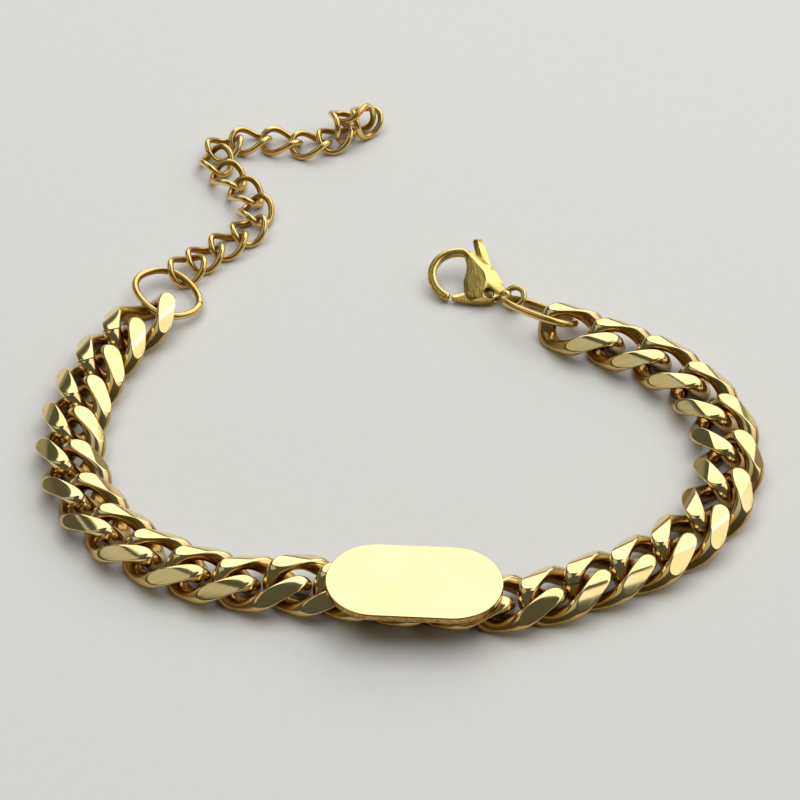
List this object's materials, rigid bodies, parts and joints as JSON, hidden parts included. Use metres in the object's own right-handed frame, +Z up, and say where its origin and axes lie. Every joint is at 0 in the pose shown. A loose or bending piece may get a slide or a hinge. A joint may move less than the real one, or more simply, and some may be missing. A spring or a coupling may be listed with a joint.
{
  "type": "bracelet",
  "caption": "Curb-link chain bracelet with a plain rounded name plate, a thin extender chain and a lobster clasp, lying open.",
  "frame": {"origin": "centre of the bottom of the bounding box, on the surface that the bracelet lies on", "axes": "+X from the extender side to the clasp side, +Y from the name plate towards the open ends, +Z up from the surface"},
  "size_m": [0.0866, 0.0994, 0.0048],
  "materials": {
    "polished_gold_plated_metal": "bright polished pale gold plate",
    "name_plate_metal": "finely polished pale gold plate, bare face",
    "satin_gold_plated_metal": "satin brushed gold plate",
    "clasp_rivet_metal": "dark worn gold plate"
  },
  "bodies": {
    "bracelet": {"name_plate": "name_plate_metal", "left_link_01": "polished_gold_plated_metal", "left_link_02": "polished_gold_plated_metal", "left_link_03": "polished_gold_plated_metal", "left_link_04": "polished_gold_plated_metal", "left_link_05": "polished_gold_plated_metal", "left_link_06": "polished_gold_plated_metal", "left_link_07": "polished_gold_plated_metal", "left_link_08": "polished_gold_plated_metal", "left_link_09": "polished_gold_plated_metal", "left_link_10": "polished_gold_plated_metal", "left_link_11": "polished_gold_plated_metal", "left_link_12": "polished_gold_plated_metal", "right_link_01": "polished_gold_plated_metal", "right_link_02": "polished_gold_plated_metal", "right_link_03": "polished_gold_plated_metal", "right_link_04": "polished_gold_plated_metal", "right_link_05": "polished_gold_plated_metal", "right_link_06": "polished_gold_plated_metal", "right_link_07": "polished_gold_plated_metal", "right_link_08": "polished_gold_plated_metal", "right_link_09": "polished_gold_plated_metal", "right_link_10": "polished_gold_plated_metal", "right_link_11": "polished_gold_plated_metal", "right_link_12": "polished_gold_plated_metal", "extender_ring": "polished_gold_plated_metal", "extender_chain": "polished_gold_plated_metal", "clasp_link_ring": "polished_gold_plated_metal", "clasp_ring": "polished_gold_plated_metal", "clasp_body": "satin_gold_plated_metal", "clasp_rivet": "clasp_rivet_metal"},
    "lever": {"clasp_lever": "satin_gold_plated_metal"}
  },
  "joints": [
    {"name": "lever_hinge", "type": "hinge", "parent": "bracelet", "child": "lever", "pos_m": [0.01147, 0.01099, 0.00099], "axis": [0.0498, 0.309, -0.9498], "range_deg": [0, 20], "stiffness_Nm_per_rad": 0.01}
  ]
}
